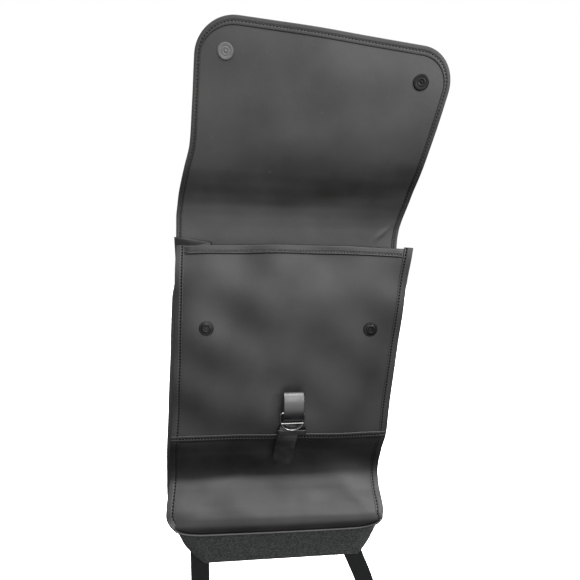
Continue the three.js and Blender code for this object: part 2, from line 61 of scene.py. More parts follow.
# Cloth, and the tape that is folded over its edges
CLOTH = 1.2
HALF = CLOTH / 2
FOLD_LIMIT = 0.96
PANEL_INSET = 0.8
TAPE_INNER = 0.65
TAPE_OUTER = 1.35
TAPE_NOSE = 0.6
TAPE_FLAT = 1.4
TAPE_CROWN = 0.12
TAPE_DROP = 0.25
TAPE_GROOVE = 0.95

# Flap, measured up from its foot on the back wall
FLAP_WIDTH = 282
FLAP_LENGTH = 260
FLAP_CORNERS = {"left": 43, "right": 40, "high": 41, "power": 1}
FLAP_TAPE_LEFT = 13
FLAP_TAPE_RIGHT = 4

# Front wall, measured down from the mouth
FRONT_WIDTH = 266
FRONT_LENGTH = 374
FRONT_CORNERS = {"left": 43, "right": 43, "high": 30, "power": 1}
CROSS_SEAM = 228
HEM_DEPTH = 12.5
HEM_STITCH = 9
HEM_RISE = 1.2
HEM_LIP = 0.5
HEM_LIP_UP = 1.4
HEM_ROLL = 2.2
HEM_FOLD = 4
HEM_STEP = 0.4
HEM_ENDS = (13, 9)
LAP_DEPTH = 7
LAP_STITCH = 4.2
LAP_FOLD = 1.2
LAP_SWELL = 1.25
LAP_FADE = (1, 4)
FIN_LENGTH = 7
FIN_SLOPE = 35
FRONT_TAPE_LEFT = -0.4
FRONT_TAPE_RIGHT = -1.8

# Shares of a corner's turn where the tape has become the fin and where the side stitches end
FIN_TURNED_BY = 0.7
SIDE_STITCH_END = 0.3

# Tape width and stitch line from the edge: at the sides and at the far end
FLAP_TAPE = {"side": (6.8, 4.2), "end": (9.6, 5.2)}
FRONT_TAPE = {"side": (10, 7.4), "end": (6.5, 5.2)}

# Back wall, measured down from the flap's foot
BACK_WIDTH = 268
BACK_LENGTH = 416
BACK_CORNERS = {"left": 27, "right": 21, "high": 31, "power": 1.7}
BACK_TOP = 407.7
MOUTH_RISE = {"left": 22, "right": 6, "end": 0}
MOUTH_STEP = 3.2
BACK_INSET = 0.4
BACK_LAP = 0.4

# Side walls and base, sewn in a little inside the edges; places on a wall are shares of length or width
SEAM_INSET = 5
BASE_INSET = 1.5
SEAM_CLEAR = 2.2
CORNER_SHARE = 0.17
BASE_INWARD = (0.85, 0.52)
BACK_SEAM = -1.5
SEAM_REACH = 0.02
GUSSET_TOP = 0.002
GUSSET_FOLD = 0.009
GUSSET_HEM = 2
GUSSET_HEM_END = (0.028, 0.031)
GUSSET_HEM_TAPER = 6

# Press studs
STUD_FROM_SIDE = 33
STUD_FROM_TOP = 35
SOCKET_FROM_SIDE = 37
SOCKET_DOWN = 101
STUD_CLEAR = 0.1

# Front closure
CLOSURE_WIDTH = 23.6
WEBBING = 1.3
TAIL_ROUND = 6
RING_WIDTH = 30
RING_HEIGHT = 26
RING_WIRE = 2.1
RING_BEND = 3
RING_BAR = 2.3
RING_BAR_UP = 9.5
RING_FOOT = (7, -65, 202)
RING_TILT = 14
LOOP_WIDTH = 7
LOOP_WEBBING = 0.9
LOOP_TILT = -0.25

# Shoulder straps
SHOULDER_WIDTH = 25
SHOULDER_WEBBING = 1.7

# Thread
STITCH_PITCH = 3.7
STITCH_LENGTH = 2.4
STITCH_RADIUS = 0.75
THREAD_LIFT = 0.25
UNDER_TAPE = 0.5
DIMPLE = 0.5
GROOVE = 1.0

# Camera
CAMERA_AT = (-38.5, -556, 420)
CAMERA_AZIMUTH = -5
CAMERA_ELEVATION = 6
CAMERA_LENS = 27
SENSOR = 36

# Lights aimed at the bag's middle, and the floor, in metres, degrees and watts
LIGHT_TARGET = (0.09, 0.0, -0.33)
FRONT_LIGHT = {"azimuth": 4, "elevation": 28, "distance": 2.2, "size": (1.0, 1.2), "power": 10}
KEY_LIGHT = {"azimuth": 42, "elevation": 20, "distance": 2.0, "size": (0.3, 0.4), "power": 22}
FLOOR_REACH = 8.0
FLOOR_DROP = 0.25

# Light of the surroundings by a direction's height and by its way to the right, each from -1 to 1
WORLD_HEIGHTS = [
    (-1, 0.02), (-0.9, 0.02), (-0.77, 0.08), (-0.6, 0.36), (-0.36, 1.1), (-0.07, 1.5), (0.3, 1.5),
    (0.6, 2.0), (0.78, 2.4), (1, 7.0),
]
WORLD_SIDES = [
    (-1, 0.25), (-0.75, 0.2), (-0.5, 0.15), (-0.37, 0.35), (-0.25, 0.88), (-0.12, 1.05), (0.1, 1.08),
    (0.35, 0.85), (0.6, 0.35), (1, 0.1),
]
WORLD_STRENGTH = 1.25

# Tints of the greys
NEUTRAL = (1.0, 1.02, 0.99)
COOL = (0.97, 1.0, 1.02)
BASE_TINT = (0.95, 1.02, 1.03)


def table(columns, rows):
    """A table as a dictionary of its named columns."""
    return dict(zip(columns.split(), np.array(rows, float).T))


FRONT_SECTIONS = table("s x_left x_right z_left z_mid z_right d_left d_mid d_right", [
    [0, -129, 151, 418.5, 420.5, 414, 24, 34, 54],
    [39, -128.5, 146, 384, 383, 381, 34, 44, 54],
    [97, -129.5, 139.5, 326, 325, 322, 44, 52, 52],
    [162, -132, 132.8, 261, 260, 254, 48, 55, 49],
    [203, -134.5, 129, 218.5, 219.5, 214, 48, 56, 47],
    [228, -136.5, 127.3, 192, 194, 188, 47, 55, 45],
    [260, -139.5, 123.2, 168, 165, 160, 40, 42, 36],
    [292, -142, 123, 137, 136, 134, 33, 29, 27],
    [300, -142.8, 122.8, 129.2, 128.2, 126, 32.2, 27.8, 26],
    [317, -143.5, 123, 116, 113, 107.5, 37.5, 34.5, 31.5],
    [333, -144.3, 124, 102, 99, 95, 45.5, 43.5, 41],
    [342, -144.3, 124.5, 94.5, 92.2, 88.7, 50, 48.7, 46.3],
    [351, -143.3, 124.5, 86.5, 84.2, 81.7, 53.3, 53.1, 51],
    [358, -141.5, 126, 79.6, 77.2, 75.4, 54.9, 54.4, 52.7],
    [366, -140.6, 126, 72.3, 69.3, 68, 54, 52.6, 51.3],
    [374, -140, 126, 66.6, 62.8, 61.8, 51.4, 48.9, 47.9],
])
BACK_SECTIONS = table("s x_left x_right", [
    [0, -132, 149],
    [338, -137, 124],
    [385, -133, 124],
    [416, -131, 124],
])
FLAP_SECTIONS = table("s x_left y_left z_left x_right y_right z_right bow crown", [
    [0, -132, 0, 408, 149, 0, 408, 0, 0],
    [16, -132, 0, 424.5, 149.5, -0.2, 423, 0, 0],
    [31, -131.5, 0, 440.5, 151, -1.2, 437, 0, 0],
    [44, -131, -0.4, 454, 153.5, -3.8, 449, 0, 0],
    [57, -129, -2.5, 467.5, 156.5, -8.4, 461, 0, 0],
    [70, -126.5, -7.3, 480, 159, -14.6, 472, 0.5, 0],
    [86, -122, -15.3, 494.5, 161, -23, 484, 1, 0],
    [104, -116.5, -23.8, 510.5, 163, -32.2, 496, 1, 0],
    [130, -108.5, -33, 535.5, 166, -43.5, 514.5, 1, 0],
    [169, -103.5, -43.2, 575, 172.5, -56, 546, 1, 0.3],
    [213, -99, -53, 619.5, 180, -66.2, 582.5, 1, 0.8],
    [260, -93, -63.2, 665, 189.5, -76.3, 628, 1, 2],
])

# Folds of the left wall from its top, the right wall from its foot, and the base from the left
LEFT_FOLDS = table("along inward power", [
    [0, 40, 1.2],
    [0.06, 25, 1.3],
    [0.12, 0, 1.7],
    [0.19, -7, 2],
    [0.4, -9, 2],
    [0.65, -11.5, 2],
    [0.85, -12, 2],
    [0.93, -9, 2],
    [1, 0, 2],
])
RIGHT_FOLDS = table("along inward power", [
    [0, -2, 2],
    [0.2, -3, 2],
    [0.6, -2, 2],
    [0.79, 2, 2],
    [0.87, 10, 1.7],
    [0.94, 25, 1.3],
    [1, 36, 1.2],
])
BASE_FOLDS = table("along inward power", [
    [0, 0, 2],
    [0.1, 0, 2],
    [0.5, 1, 2],
    [0.9, 1, 2],
    [1, -2, 2],
])
CLOSURE_ROUTE = table("x y z turn", [
    [8.6, -56.9, 197, 0],
    [8.6, -57.7, 215, 0],
    [8.6, -59.6, 232, 0],
    [8.6, -62.4, 243.4, 0],
    [8.6, -66.2, 248.4, 0],
    [8.6, -70.6, 246, 0],
    [8.6, -73.4, 240.6, 0],
    [8.5, -74.6, 233.4, 0],
    [8.4, -74.2, 226.4, 0],
    [8.2, -72, 220, 0],
    [8, -68.8, 215.8, 0],
    [7.7, -65.8, 213, 0],
    [6.8, -62.8, 209.4, 0],
    [4.8, -61.6, 204, 1],
    [2.6, -61.2, 196, 3],
    [0.7, -59.4, 188, 6],
    [-1.2, -55.6, 177, 9],
    [-3, -51.2, 164, 11],
    [-4.2, -47.8, 152.4, 12],
])
LOOP_ROUTE = table("x y z", [
    [-9.9, -55.9, 197.6],
    [-9.9, -59.8, 197.6],
    [-9.2, -61.4, 197.6],
    [-7.3, -62, 197.6],
    [4.5, -62.6, 197.6],
    [16, -63.1, 197.6],
    [21.6, -63.2, 197.6],
    [23.3, -62.5, 197.6],
    [23.9, -60.8, 197.6],
    [23.9, -55.7, 197.6],
])
LEFT_SHOULDER = table("x y z", [
    [-112.5, 2, 26],
    [-112.5, 2, -8],
    [-112.9, 5, -50],
    [-113.5, 13, -110],
    [-116, 30, -150],
    [-118.5, 49, -140],
    [-119.5, 57, -95],
    [-118, 56, -35],
    [-100, 49, 60],
    [-68, 32, 220],
    [-47, 12, 350],
    [-42.5, 3, 385],
    [-40, 2.2, 412],
])
RIGHT_SHOULDER = table("x y z", [
    [86, 2, 24],
    [98, 2, -8],
    [115, 5, -51],
    [129, 14, -100],
    [136, 30, -142],
    [135, 48, -132],
    [127, 55, -88],
    [112, 54, -46],
    [98, 49, 30],
    [75, 32, 215],
    [60, 12, 350],
    [56.5, 3, 385],
    [54, 2.2, 412],
])

# Creases and soft dents: centre, half length, half width, angle from x, height towards the viewer
FLAP_CREASES = table("x s long wide angle height", [
    [-85, 165, 80, 50, 90, -3],
    [119, 26, 13, 3, 50, 0.9],
    [60, 74, 60, 14, 8, -1],
    [-70, 66, 50, 16, -6, -0.8],
])
FRONT_CREASES = table("x s long wide angle height", [
    [-100, 334, 30, 8, -42, 1.2],
    [-70, 312, 34, 10, -30, -0.9],
    [98, 326, 26, 9, 50, 1.1],
    [0, 60, 90, 26, 4, 0.8],
    [42, 58, 60, 45, 20, 2.4],
    [-70, 150, 60, 22, 70, -0.8],
    [70, 165, 60, 20, 105, -0.8],
])

# Where relief and ripple fade in on the flap, and where the ripple fades out on the front
FLAP_RELIEF_START = (8, 30)
FLAP_RIPPLE_START = (30, 70)
FRONT_RIPPLE_END = (330, 352)

# Brings the highest value of u (1 - u)^2 to 1
CROWN_PEAK = 6.75


def smooth(rows, key, column, at):
    """Value of a column where the key column has the given values, without overshoot."""
    keys, values = rows[key], rows[column]
    rate = np.diff(values) / np.diff(keys)
    product = rate[:-1] * rate[1:]
    total = rate[:-1] + rate[1:]
    inner = np.where(product > 0, 2 * product / np.where(product > 0, total, 1), 0)
    slope = np.concatenate([rate[:1], inner, rate[-1:]])
    at = np.asarray(at, float)
    inside = np.clip(at, keys[0], keys[-1])
    i = np.clip(np.searchsorted(keys, inside) - 1, 0, len(keys) - 2)
    span = keys[i + 1] - keys[i]
    t = (inside - keys[i]) / span
    a, b = values[i], values[i + 1]
    rise, fall = slope[i] * span, slope[i + 1] * span
    value = a + t * rise + t**2 * (3 * (b - a) - 2 * rise - fall) + t**3 * (2 * (a - b) + rise + fall)
    beyond = at - inside
    return value + beyond * np.where(beyond < 0, slope[0], slope[-1])


def blend(a, b, share):
    return a + (b - a) * share


def step(at, low, high):
    """Smooth step from 0 at low to 1 at high."""
    t = np.clip((at - low) / (high - low), 0, 1)
    return t * t * (3 - 2 * t)


def parabola(left, middle, right, u):
    return left * (1 - u) * (1 - 2 * u) + middle * 4 * u * (1 - u) + right * u * (2 * u - 1)


def creases(rows, x, s):
    """Summed height of the creases at a place on the cloth."""
    height = np.zeros(np.broadcast(x, s).shape)
    for i in range(len(rows["x"])):
        angle = math.radians(rows["angle"][i])
        dx, ds = x - rows["x"][i], s - rows["s"][i]
        along = (dx * math.cos(angle) + ds * math.sin(angle)) / rows["long"][i]
        across = (ds * math.cos(angle) - dx * math.sin(angle)) / rows["wide"][i]
        height = height + rows["height"][i] * np.exp(-along**2 - across**2)
    return height


def ripple(seed, wavelength, height):
    """A soft uneven field: waves of about one length in random directions."""
    random = np.random.default_rng(seed)
    angles = random.uniform(0, 2 * math.pi, 9)
    phases = random.uniform(0, 2 * math.pi, 9)
    numbers = 2 * math.pi / (wavelength * random.uniform(0.7, 1.5, 9))

    def field(x, s):
        waves = [
            np.sin((x * math.cos(a) + s * math.sin(a)) * k + p)
            for a, p, k in zip(angles, phases, numbers)
        ]
        return height * sum(waves) / 3
    return field


class Cloth:
    """A surface by two coordinates, with its normal on the outer side and a soft relief."""

    def __init__(self, middle, outward, relief=None, reach=0.05):
        self.middle = middle
        self.outward = outward
        self.relief = relief
        self.reach = reach

    def normal_of(self, surface, a, b):
        h = self.reach
        along = surface(a + h, b) - surface(a - h, b)
        across = surface(a, b + h) - surface(a, b - h)
        return unit(np.cross(along, across)) * self.outward

    def at(self, a, b):
        points = self.middle(a, b)
        if self.relief is None:
            return points
        return points + self.normal_of(self.middle, a, b) * self.relief(a, b)[..., None]

    def normal(self, a, b):
        return self.normal_of(self.at, a, b)

    def lifted(self, a, b, height):
        a, b, height = np.broadcast_arrays(*(np.asarray(v, float) for v in (a, b, height)))
        return self.at(a, b) + self.normal(a, b) * height[..., None]


def circle(count):
    """Angles of points round a circle."""
    return np.linspace(0, 2 * math.pi, count + 1)[:-1]


def unit(vectors):
    return vectors / np.linalg.norm(vectors, axis=-1, keepdims=True)


def distances(points):
    """Way along a row of points."""
    return np.concatenate([[0], np.cumsum(np.linalg.norm(np.diff(points, axis=0), axis=1))])


def front_middle(x, s):
    u = x / FRONT_WIDTH + 0.5

    def at(column):
        return smooth(FRONT_SECTIONS, "s", column, s)
    px = blend(at("x_left"), at("x_right"), u)
    depth = parabola(at("d_left"), at("d_mid"), at("d_right"), u)
    pz = parabola(at("z_left"), at("z_mid"), at("z_right"), u)
    return np.stack(np.broadcast_arrays(px, -depth, pz), -1)


def back_middle(x, s):
    u = x / BACK_WIDTH + 0.5
    px = blend(smooth(BACK_SECTIONS, "s", "x_left", s), smooth(BACK_SECTIONS, "s", "x_right", s), u)
    return np.stack(np.broadcast_arrays(px, 0 * px, BACK_TOP - s), -1)


def flap_middle(x, s):
    u = x / FLAP_WIDTH + 0.5

    def at(column):
        return smooth(FLAP_SECTIONS, "s", column, s)
    px = blend(at("x_left"), at("x_right"), u)
    py = blend(at("y_left"), at("y_right"), u) - at("bow") * 4 * u * (1 - u)
    crown = at("crown") * CROWN_PEAK * u * (1 - u) ** 2
    pz = blend(at("z_left"), at("z_right"), u) + crown
    return np.stack(np.broadcast_arrays(px, py, pz), -1)


flap_ripple = ripple(seed=3, wavelength=85, height=0.45)
front_ripple = ripple(seed=5, wavelength=80, height=1.5)


def flap_relief(x, s):
    relief = creases(FLAP_CREASES, x, s) + step(s, *FLAP_RIPPLE_START) * flap_ripple(x, s)
    return step(s, *FLAP_RELIEF_START) * relief


def front_relief(x, s):
    return creases(FRONT_CREASES, x, s) + (1 - step(s, *FRONT_RIPPLE_END)) * front_ripple(x, s)


FLAP = Cloth(flap_middle, 1, flap_relief)
FRONT = Cloth(front_middle, -1, front_relief)
BACK = Cloth(back_middle, -1)


def place(points):
    """Millimetres in the bag's layout to metres in the part's frame."""
    return (np.asarray(points, float) - GRIP) / 1000


# Meshes


def add_object(name, data):
    thing = bpy.data.objects.new(name, data)
    bpy.context.scene.collection.objects.link(thing)
    return thing


def volume_of(points, quads):
    a, b, c, d = (points[quads[:, k]] for k in range(4))
    return np.sum(a * np.cross(b, c)) + np.sum(a * np.cross(c, d))


def make_object(name, points, quads, material, caps=(), uv=None, sharp=40):
    """A smooth shaded closed mesh from points in the bag's layout, with its faces outwards."""
    faces = [*quads.tolist(), *caps]
    if volume_of(points - points.mean(0), quads) < 0:
        faces = [face[::-1] for face in faces]
    mesh = bpy.data.meshes.new(name)
    mesh.from_pydata(place(points).tolist(), [], faces)
    mesh.update()
    if uv is not None:
        layer = mesh.uv_layers.new(name="cloth")
        corner = np.empty(len(mesh.loops), int)
        mesh.loops.foreach_get("vertex_index", corner)
        layer.data.foreach_set("uv", (np.asarray(uv)[corner] / 1000).ravel())
    mesh.shade_smooth()
    mesh.set_sharp_from_angle(angle=math.radians(sharp))
    mesh.materials.append(material)
    return add_object(name, mesh)


def wall(name, cloth, a, b, front, back, material, back_material=None):
    """A closed wall of cloth over a grid of places, with its thickness to the two sides."""
    rows, columns = a.shape
    outer = cloth.lifted(a, b, front).reshape(-1, 3)
    inner = cloth.lifted(a, b, -np.asarray(back)).reshape(-1, 3)
    count = rows * columns
    index = np.arange(count).reshape(rows, columns)
    quads = np.stack([index[:-1, :-1], index[:-1, 1:], index[1:, 1:], index[1:, :-1]], -1).reshape(-1, 4)
    rim = np.concatenate([index[0, :], index[1:, -1], index[-1, -2::-1], index[-2:0:-1, 0]])
    after = np.roll(rim, -1)
    sides = np.stack([after, rim, rim + count, after + count], -1)
    uv = np.tile(np.stack([a.ravel(), b.ravel()], -1), (2, 1))
    points = np.concatenate([outer, inner])
    faces = np.concatenate([quads, quads[:, ::-1] + count, sides])
    piece = make_object(name, points, faces, material, uv=uv)
    if back_material is not None:
        piece.data.materials.append(back_material)
        slots = np.zeros(len(faces), int)
        slots[len(quads):2 * len(quads)] = 1
        piece.data.polygons.foreach_set("material_index", slots)
    return piece


def ring_quads(current, following):
    """Faces between two sets of rings."""
    corners = [current, np.roll(current, -1, 1), np.roll(following, -1, 1), following]
    return np.stack(corners, -1).reshape(-1, 4)


def sweep(name, rings, material, closed=False, uv=None, sharp=40):
    """A body through rings of points; its ends are capped unless it closes on itself."""
    count, sides = rings.shape[:2]
    index = np.arange(count * sides).reshape(count, sides)
    points = rings.reshape(-1, 3)
    if closed:
        quads = ring_quads(index, np.roll(index, -1, 0))
        return make_object(name, points, quads, material, uv=uv, sharp=sharp)
    quads = ring_quads(index[:-1], index[1:])
    caps = [index[0, ::-1].tolist(), index[-1].tolist()]
    return make_object(name, points, quads, material, caps, uv, sharp)


def panel_grid(width, length, corners, inset, levels, columns, turns=24):
    """Places on a panel that is straight sided and has two cut corners at its far end."""
    high = corners["high"]
    turn = np.linspace(0, math.pi / 2, turns)[1:]
    s = np.concatenate([levels, length - high + (high - inset) * np.sin(turn) ** corners["power"]])
    pull = np.concatenate([0 * levels, 1 - np.cos(turn) ** corners["power"]])
    first = inset - width / 2 + pull * (corners["left"] - inset)
    last = width / 2 - inset - pull * (corners["right"] - inset)
    x = blend(first[:, None], last[:, None], np.linspace(0, 1, columns))
    return x, np.repeat(s[:, None], columns, 1)


def edge_path(width, length, corners, start_left, start_right, pitch=1.5):
    """Places along a panel's left side, far end and right side, the way in, and the share of turn."""
    half, straight = width / 2, length - corners["high"]
    left, right, high = corners["left"], corners["right"], corners["high"]
    down = np.linspace(start_left, straight, int((straight - start_left) / pitch))
    turn = np.linspace(0, math.pi / 2, 34)[1:-1]
    level = np.linspace(left - half, half - right, int((width - left - right) / pitch))
    up = np.linspace(straight, start_right, int((straight - start_right) / pitch))
    sine, cosine = np.sin(turn), np.cos(turn)
    parts = {
        "x": (0 * down - half, left * (1 - cosine) - half, level, half - right * (1 - sine), 0 * up + half),
        "s": (down, straight + high * sine, 0 * level + length, straight + high * cosine, up),
        "in_x": (0 * down + 1, cosine / left, 0 * level, -sine / right, 0 * up - 1),
        "in_s": (0 * down, -sine / high, 0 * level - 1, -cosine / high, 0 * up),
        "turn": (0 * down, turn, 0 * level + math.pi / 2, turn[::-1], 0 * up),
    }
    path = {key: np.concatenate(values) for key, values in parts.items()}
    slant = np.hypot(path["in_x"], path["in_s"])
    path["in_x"], path["in_s"] = path["in_x"] / slant, path["in_s"] / slant
    path["turn"] = path["turn"] / (math.pi / 2)
    return path


class Ribbon:
    """Folded tape along an edge: edge points, the way in, the outer side, width and stitch line."""

    def __init__(self, cloth, path, sizes, fin=None, turned_by=1.0):
        x, s = path["x"], path["s"]
        inner_x, inner_s = x + path["in_x"], s + path["in_s"]
        self.edge = cloth.at(x, s)
        self.inward = unit(cloth.at(inner_x, inner_s) - self.edge)
        side = cloth.normal(inner_x, inner_s)
        share = step(path["turn"], 0, turned_by)
        self.width = blend(sizes["side"][0], sizes["end"][0], share)
        self.stitch = blend(sizes["side"][1], sizes["end"][1], share)
        if fin is not None:
            self.edge = self.edge + fin * FIN_LENGTH * share[:, None]
            self.inward = unit(blend(self.inward, -fin, share[:, None]))
            side = blend(side, np.array([0, fin[2], -fin[1]]), share[:, None])
        self.side = unit(side - self.inward * np.sum(side * self.inward, 1, keepdims=True))
        self.turn = path["turn"]

    def points(self, inward, height):
        return self.edge[:, None] + self.inward[:, None] * inward[..., None] \
            + self.side[:, None] * height[..., None]

    def section(self):
        """Places inwards from the edge and heights over the cloth, round the fold and back."""
        nose = np.linspace(math.pi / 2, -math.pi / 2, 9)
        share = np.linspace(1, 0, 16)
        flat = TAPE_FLAT + share * (self.width[:, None] - TAPE_FLAT)
        crown = TAPE_OUTER + TAPE_CROWN * np.sin(math.pi * share) + 0 * flat
        crown -= DIMPLE * np.exp(-((flat - self.stitch[:, None]) / TAPE_GROOVE) ** 2)
        crown[:, 0] -= TAPE_DROP
        ones = np.ones((len(flat), 1))
        fold_in = ones * (TAPE_NOSE - np.cos(nose))
        fold_high = ones * TAPE_OUTER * np.sin(nose)
        start = 0 * self.width + TAPE_NOSE
        lining_in = np.stack([self.width, start, start, self.width], 1)
        lining_high = ones * np.array([-TAPE_INNER, -TAPE_INNER, TAPE_INNER, TAPE_INNER])
        inward = np.concatenate([flat, fold_in, flat[:, ::-1], lining_in], 1)
        height = np.concatenate([crown, fold_high, -crown[:, ::-1], lining_high], 1)
        return inward, height

    def mesh(self, name, material):
        inward, height = self.section()
        along = distances(self.edge)
        uv = np.stack([self.width[:, None] - inward, along[:, None] + 0 * inward], -1)
        return sweep(name, self.points(inward, height), material, uv=uv.reshape(-1, 2), sharp=50)

    def stitch_line(self, keep):
        """Places and normals of the thread where keep holds."""
        height = 0 * self.stitch + TAPE_OUTER - DIMPLE + THREAD_LIFT
        places = self.points(self.stitch[:, None], height[:, None])[:, 0]
        return places[keep], self.side[keep]


def stitches(name, lines, material):
    """Thread over the cloth: each line is a row of places and its normals."""
    sides = circle(6)
    shares = np.array([0, 0.2, 0.5, 0.8, 1]) * STITCH_LENGTH
    lifts = np.array([-0.35, 0.1, 0.2, 0.1, -0.35])
    radii = np.array([0.5, 0.95, 1, 0.95, 0.5]) * STITCH_RADIUS
    rings = []
    for places, normals in lines:
        along = distances(places)
        count = int(along[-1] / STITCH_PITCH)
        starts = (np.arange(count) + 0.2) * along[-1] / count
        at = starts[:, None] + shares
        middle = np.stack([np.interp(at, along, places[:, k]) for k in range(3)], -1)
        normal = unit(np.stack([np.interp(at, along, normals[:, k]) for k in range(3)], -1))
        tangent = unit(np.gradient(middle, axis=1))
        side = np.cross(tangent, normal)
        middle = middle + normal * lifts[:, None]
        spread = normal[:, :, None] * np.cos(sides)[:, None] + side[:, :, None] * np.sin(sides)[:, None]
        rings.append(middle[:, :, None] + spread * radii[:, None, None])
    rings = np.concatenate(rings)
    index = np.arange(rings[..., 0].size).reshape(rings.shape[:3])
    quads = np.concatenate([ring_quads(index[:, k], index[:, k + 1]) for k in range(len(shares) - 1)])
    caps = [*index[:, 0, ::-1].tolist(), *index[:, -1].tolist()]
    return make_object(name, rings.reshape(-1, 3), quads, material, caps, sharp=80)


def seam_line(cloth, a, b, height):
    """Places and normals along a row of surface places."""
    return cloth.lifted(a, b, height), cloth.normal(a, b)


# Materials


class Nodes:
    """A node tree and the ways to add to it."""

    def __init__(self, tree):
        self.tree = tree

    def set(self, node, inputs):
        """Give a node's inputs plain values or the outputs of other nodes."""
        for key, value in inputs.items():
            if isinstance(value, bpy.types.NodeSocket):
                self.tree.links.new(value, node.inputs[key])
            else:
                node.inputs[key].default_value = value

    def node(self, kind, inputs, **settings):
        node = self.tree.nodes.new(kind)
        for key, value in settings.items():
            setattr(node, key, value)
        self.set(node, inputs)
        return node

    def space(self, name):
        """Texture coordinates: Object in metres, UV in metres of cloth, Generated a way in the world."""
        return self.node("ShaderNodeTexCoord", {}).outputs[name]

    def part(self, space, axis):
        return self.node("ShaderNodeSeparateXYZ", {0: self.space(space)}).outputs[axis]

    def noise(self, scale, detail=2.0, roughness=0.5, space="Object"):
        inputs = {"Vector": self.space(space), "Scale": scale, "Detail": detail, "Roughness": roughness}
        return self.node("ShaderNodeTexNoise", inputs).outputs["Fac"]

    def wave(self, space, pitch, direction, distortion):
        """Bands a pitch apart in metres."""
        scale = math.pi / 10 / pitch
        inputs = {"Vector": self.space(space), "Scale": scale, "Distortion": distortion}
        return self.node("ShaderNodeTexWave", inputs, bands_direction=direction).outputs["Fac"]

    def remap(self, value, start, end, low, high):
        inputs = {"Value": value, "From Min": start, "From Max": end, "To Min": low, "To Max": high}
        return self.node("ShaderNodeMapRange", inputs).outputs["Result"]

    def math(self, operation, a, b):
        return self.node("ShaderNodeMath", {0: a, 1: b}, operation=operation).outputs["Value"]

    def ramp(self, value, dark, light, low, high, tint=NEUTRAL):
        """Grey from dark where the value is low to light where it is high."""
        ramp = self.node("ShaderNodeValToRGB", {"Fac": value})
        for stop, position, level in zip(ramp.color_ramp.elements, (low, high), (dark, light)):
            stop.position = position
            stop.color = grey(level, tint)
        return ramp.outputs["Color"]

    def mix(self, share, first, second):
        """Colour between two others by a share."""
        inputs = {"Factor": share, 6: first, 7: second}
        return self.node("ShaderNodeMix", inputs, data_type="RGBA").outputs[2]


class Finish(Nodes):
    """A node material around one principled shader."""

    def __init__(self, name, roughness, metallic=0.0, specular=0.5):
        self.material = bpy.data.materials.new(name)
        self.material.use_nodes = True
        super().__init__(self.material.node_tree)
        self.shader = self.tree.nodes["Principled BSDF"]
        inputs = {"Roughness": roughness, "Metallic": metallic, "Specular IOR Level": specular}
        self.set(self.shader, inputs)

    def colour(self, colour):
        self.set(self.shader, {"Base Color": colour})

    def rough(self, value, low, high):
        self.set(self.shader, {"Roughness": self.remap(value, 0.3, 0.7, low, high)})

    def bump(self, *layers):
        """Surface relief: each layer is a value and its height in metres."""
        lower = {}
        for value, height in layers:
            inputs = {"Strength": 1.0, "Distance": height, "Height": value, **lower}
            lower = {"Normal": self.node("ShaderNodeBump", inputs).outputs["Normal"]}
        self.set(self.shader, lower)


def grey(level, tint=NEUTRAL):
    return (*(level * part for part in tint), 1)


def coated_cloth(name, dark, light, rough_low, rough_high, edge_shade=0.0):
    """Smooth coated cloth: cloudy, finely grained, with small scuffs; tape also gets painted shade along
    its inner edge, where it lies on the cloth.
    """
    finish = Finish(name, rough_low)
    clouds = finish.ramp(finish.noise(19, 3, 0.55), dark, light, 0.36, 0.64)
    scuffs = finish.remap(finish.noise(130, 4, 0.62), 0.68, 0.76, 0.0, 0.5)
    colour = finish.mix(scuffs, clouds, grey(light * 2.2))
    # Painted shade: a dark line along the tape's inner edge, where it meets the cloth
    if edge_shade > 0:
        from_edge = finish.part("UV", "X")
        edge_shade_share = finish.remap(from_edge, edge_shade / 2000, edge_shade / 1000, 1.0, 0.0)
        colour = finish.mix(edge_shade_share, colour, grey(0.004))
    finish.colour(colour)
    finish.rough(finish.noise(34, 4), rough_low, rough_high)
    finish.bump((finish.noise(330), 0.00007), (finish.noise(1400), 0.00003))
    return finish.material


def woven_cloth(name, dark, light, pitch):
    """Plain weave with light and dark threads."""
    finish = Finish(name, 0.8, specular=0.3)
    warp = finish.wave("Object", pitch, "X", 0.8)
    weft = finish.wave("Object", pitch, "Z", 0.8)
    weave = finish.math("MAXIMUM", warp, weft)
    fleck = finish.noise(0.55 / pitch, 3, 0.7)
    flecks = finish.remap(fleck, 0.42, 0.62, 0.05, 1.0)
    threads = finish.math("MULTIPLY", flecks, finish.remap(weave, 0, 1, 0.5, 1.0))
    finish.colour(finish.ramp(threads, dark, light, 0.0, 1.0, BASE_TINT))
    finish.bump((fleck, 0.0003), (weave, 0.0003))
    finish.set(finish.shader, {"Sheen Weight": 0.03, "Sheen Roughness": 0.5})
    return finish.material


def webbing_cloth(name, dark, light, pitch, roughness, height, hem=None, specular=0.4):
    """Close webbing: fine ribs across and cords along; a hem is a pressed line by the edges."""
    finish = Finish(name, roughness, specular=specular)
    cords = finish.wave("UV", pitch * 1.7, "X", 0.3)
    ribs = finish.wave("UV", pitch, "Y", 0.6)
    weave = finish.math("MULTIPLY", finish.math("ADD", cords, ribs), 0.5)
    wear = finish.noise(90, 3, space="UV")
    shade = finish.math("MULTIPLY", finish.math("ADD", weave, wear), 0.5)
    colour = finish.ramp(shade, dark, light, 0.25, 0.75, COOL)
    if hem is not None:
        across = finish.math("ABSOLUTE", finish.part("UV", "X"), 0.0)
        line = finish.math("ABSOLUTE", finish.math("SUBTRACT", across, hem), 0.0)
        colour = finish.mix(finish.remap(line, 0.0, 0.0007, 0.7, 0.0), colour, grey(0.006))
    finish.colour(colour)
    finish.rough(wear, roughness - 0.06, roughness + 0.08)
    finish.bump((weave, height))
    return finish.material


